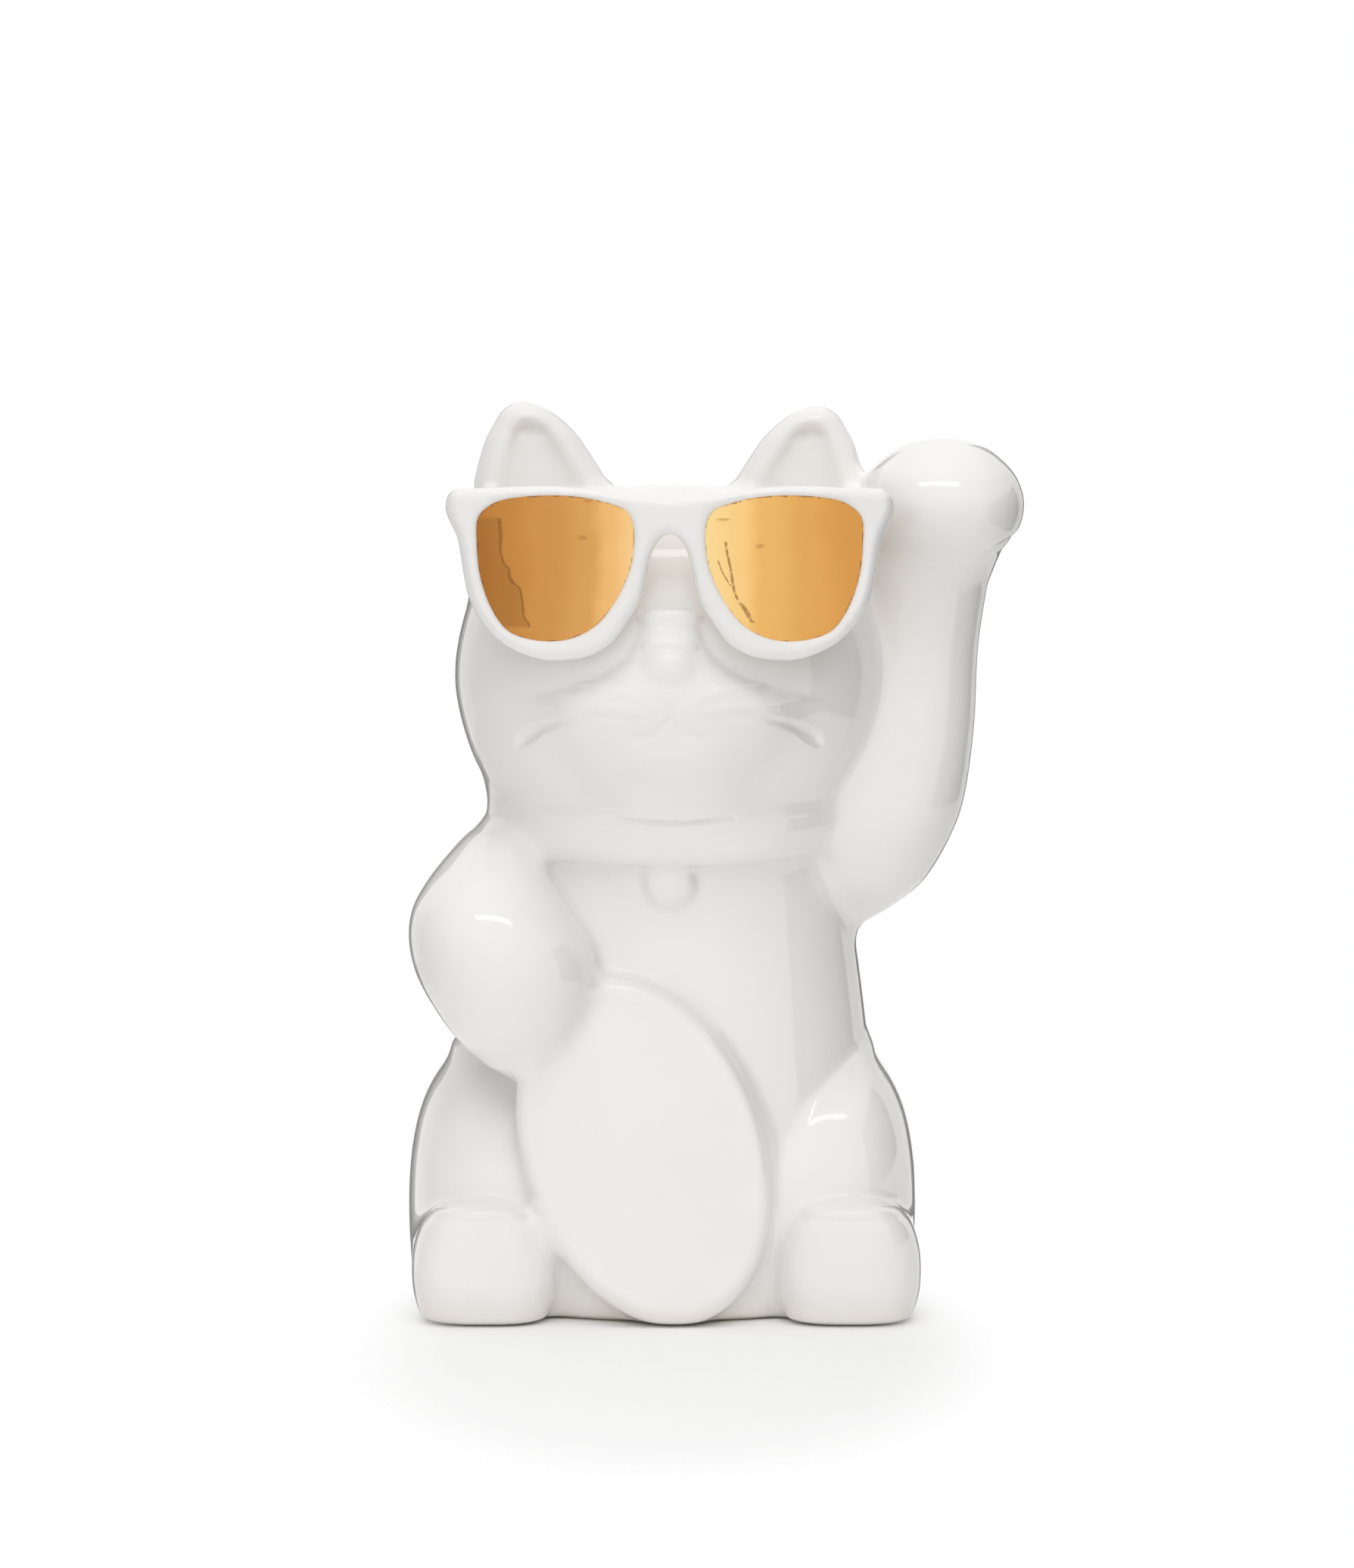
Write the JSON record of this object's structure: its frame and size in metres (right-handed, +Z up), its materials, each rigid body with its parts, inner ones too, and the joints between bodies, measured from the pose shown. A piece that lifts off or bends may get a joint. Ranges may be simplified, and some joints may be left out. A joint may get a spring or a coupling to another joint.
{
  "type": "beckoning cat money bank",
  "caption": "Glazed ceramic beckoning cat money bank with a raised paw, an oval coin plate and gold-lustred sunglasses.",
  "frame": {"origin": "middle of the body's footprint, on the face that the figure stands on", "axes": "+Z up the figure, -Y the way it faces, +X towards its raised paw"},
  "size_m": [0.1448, 0.1106, 0.2122],
  "materials": {
    "white_glaze": "gloss",
    "gold_lustre": "mirror gloss metallic lustre",
    "stopper_vinyl": "satin"
  },
  "bodies": {
    "figure": {"torso_shell": "white_glaze", "head_shell": "white_glaze", "raised_arm": "white_glaze", "lower_arm": "white_glaze", "haunch_left": "white_glaze", "haunch_right": "white_glaze", "hind_foot_left": "white_glaze", "hind_foot_right": "white_glaze", "tail": "white_glaze", "collar": "white_glaze", "bell": "white_glaze", "coin_plate": "white_glaze", "ear_left": "white_glaze", "ear_right": "white_glaze", "glasses_front": "white_glaze", "temple_left": "white_glaze", "temple_right": "white_glaze", "lens_left": "gold_lustre", "lens_right": "gold_lustre"},
    "stopper": {"base_stopper": "stopper_vinyl"}
  },
  "joints": [
    {"name": "stopper_pull", "type": "slide", "parent": "figure", "child": "stopper", "axis": [0, 0, -1], "range_m": [0, 0.03]}
  ]
}
